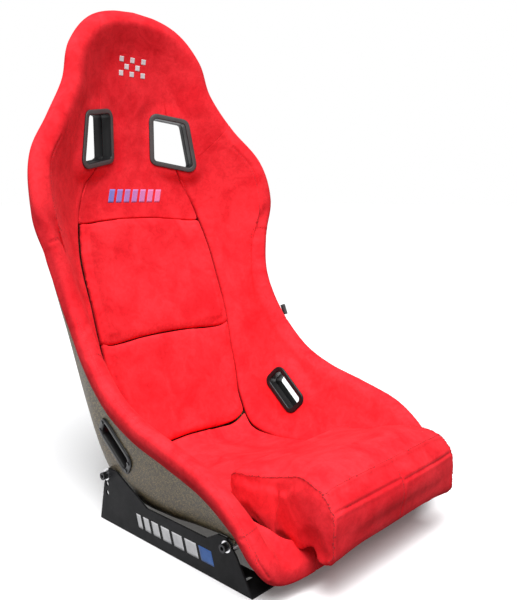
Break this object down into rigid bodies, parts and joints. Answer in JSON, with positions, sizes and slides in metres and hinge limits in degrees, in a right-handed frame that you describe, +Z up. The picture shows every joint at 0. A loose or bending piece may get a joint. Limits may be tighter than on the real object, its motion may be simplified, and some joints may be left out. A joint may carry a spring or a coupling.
{
  "type": "racing seat",
  "caption": "Fixed-back bucket seat with a moulded shell, fabric trim, lift-out pads, harness slots and two side brackets with slotted feet.",
  "frame": {"origin": "middle of the seat's footprint, on the plane that the brackets' feet stand on", "axes": "+Z up, the sitter faces -Y, +X to the right seen from the front"},
  "size_m": [0.5728, 0.6824, 0.9065],
  "materials": {
    "shell_flake": "metal-flake moulded composite",
    "red_suede": "brushed microsuede",
    "foam": "open-cell foam",
    "hook_and_loop": "hook-and-loop tape",
    "bezel_plastic": "textured moulding",
    "bracket_black": "satin powder coat",
    "zinc_steel": "zinc plated",
    "black_steel": "black oxide",
    "tag_webbing": "folded webbing"
  },
  "bodies": {
    "root": {"shell": "shell_flake", "head_foam": "foam", "head_cover": "red_suede", "left_wing_foam": "foam", "right_wing_foam": "foam", "left_wing_cover": "red_suede", "right_wing_cover": "red_suede", "front_lip_foam": "foam", "front_lip_cover": "red_suede", "shell_hook_strips": "hook_and_loop", "left_shoulder_bezel": "bezel_plastic", "right_shoulder_bezel": "bezel_plastic", "left_shoulder_backing": "bezel_plastic", "right_shoulder_backing": "bezel_plastic", "left_lap_bezel": "bezel_plastic", "right_lap_bezel": "bezel_plastic", "left_lap_backing": "bezel_plastic", "right_lap_backing": "bezel_plastic", "bezel_screws": "black_steel", "left_bracket": "bracket_black", "right_bracket": "bracket_black", "side_inserts": "zinc_steel", "bracket_bolts": "black_steel", "bracket_washers": "zinc_steel", "side_tag": "tag_webbing"},
    "upper_back_pad": {"upper_back_foam": "foam", "upper_back_cover": "red_suede", "upper_back_loop_strips": "hook_and_loop"},
    "lower_back_pad": {"lower_back_foam": "foam", "lower_back_cover": "red_suede", "lower_back_loop_strips": "hook_and_loop"},
    "seat_pad": {"seat_pad_foam": "foam", "seat_pad_cover": "red_suede", "seat_pad_loop_strips": "hook_and_loop"},
    "thigh_pad": {"thigh_pad_foam": "foam", "thigh_pad_cover": "red_suede", "thigh_pad_loop_strips": "hook_and_loop"}
  },
  "joints": [
    {"name": "upper_back_lift", "type": "slide", "parent": "root", "child": "upper_back_pad", "axis": [0, -0.93, 0.3676], "range_m": [0, 0.12]},
    {"name": "lower_back_lift", "type": "slide", "parent": "root", "child": "lower_back_pad", "axis": [0, -0.93, 0.3676], "range_m": [0, 0.12]},
    {"name": "seat_pad_lift", "type": "slide", "parent": "root", "child": "seat_pad", "axis": [0, -0.92, 0.3919], "range_m": [0, 0.3]},
    {"name": "thigh_pad_lift", "type": "slide", "parent": "seat_pad", "child": "thigh_pad", "axis": [0, -0.342, 0.9397], "range_m": [0, 0.15]}
  ]
}
